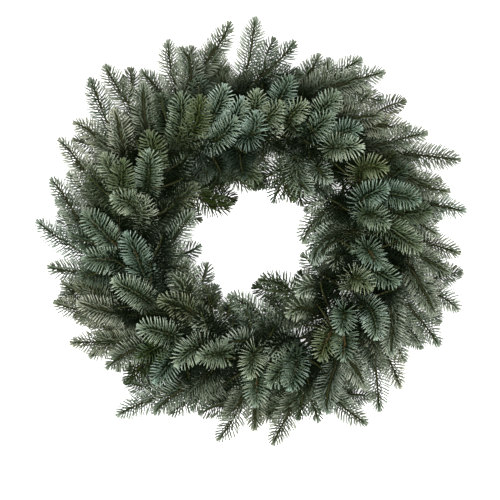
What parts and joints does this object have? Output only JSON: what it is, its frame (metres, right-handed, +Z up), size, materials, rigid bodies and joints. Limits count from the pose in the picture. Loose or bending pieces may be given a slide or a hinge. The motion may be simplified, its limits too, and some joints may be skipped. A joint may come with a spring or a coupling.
{
  "type": "fresh evergreen wreath",
  "caption": "Round wreath of cut fir boughs, bound clockwise in bunches on a welded wire ring frame, with an open centre; lies on its back or hangs by its ring.",
  "frame": {"origin": "middle of the wreath's outline on the surface that it lies on, under its face", "axes": "+Z up out of the wreath's face, +Y towards the top of the wreath in the picture, +X to its right"},
  "size_m": [0.5922, 0.5864, 0.1245],
  "materials": {
    "frame_wire": "satin",
    "binding_wire": "satin",
    "outer_foliage": "satin",
    "face_foliage": "satin",
    "inner_foliage": "satin"
  },
  "bodies": {
    "root": {"ring_frame": "frame_wire", "binding_wire": "binding_wire", "spray_outer_01": "outer_foliage", "spray_outer_02": "outer_foliage", "spray_outer_03": "outer_foliage", "spray_outer_04": "outer_foliage", "spray_outer_05": "outer_foliage", "spray_outer_06": "outer_foliage", "spray_outer_07": "outer_foliage", "spray_outer_08": "outer_foliage", "spray_outer_09": "outer_foliage", "spray_outer_10": "outer_foliage", "spray_outer_11": "outer_foliage", "spray_outer_12": "outer_foliage", "spray_outer_13": "outer_foliage", "spray_outer_14": "outer_foliage", "spray_outer_15": "outer_foliage", "spray_outer_16": "outer_foliage", "spray_outer_17": "outer_foliage", "spray_outer_18": "outer_foliage", "spray_outer_19": "outer_foliage", "spray_face_01": "face_foliage", "spray_face_02": "face_foliage", "spray_face_03": "face_foliage", "spray_face_04": "face_foliage", "spray_face_05": "face_foliage", "spray_face_06": "face_foliage", "spray_face_07": "face_foliage", "spray_face_08": "face_foliage", "spray_face_09": "face_foliage", "spray_face_10": "face_foliage", "spray_face_11": "face_foliage", "spray_face_12": "face_foliage", "spray_face_13": "face_foliage", "spray_face_14": "face_foliage", "spray_face_15": "face_foliage", "spray_face_16": "face_foliage", "spray_face_17": "face_foliage", "spray_face_18": "face_foliage", "spray_face_19": "face_foliage", "spray_inner_01": "inner_foliage", "spray_inner_02": "inner_foliage", "spray_inner_03": "inner_foliage", "spray_inner_04": "inner_foliage", "spray_inner_05": "inner_foliage", "spray_inner_06": "inner_foliage", "spray_inner_07": "inner_foliage", "spray_inner_08": "inner_foliage", "spray_inner_09": "inner_foliage", "spray_inner_10": "inner_foliage", "spray_inner_11": "inner_foliage", "spray_inner_12": "inner_foliage", "spray_inner_13": "inner_foliage", "spray_inner_14": "inner_foliage", "spray_inner_15": "inner_foliage", "spray_inner_16": "inner_foliage", "spray_inner_17": "inner_foliage", "spray_inner_18": "inner_foliage", "spray_inner_19": "inner_foliage"}
  },
  "joints": []
}
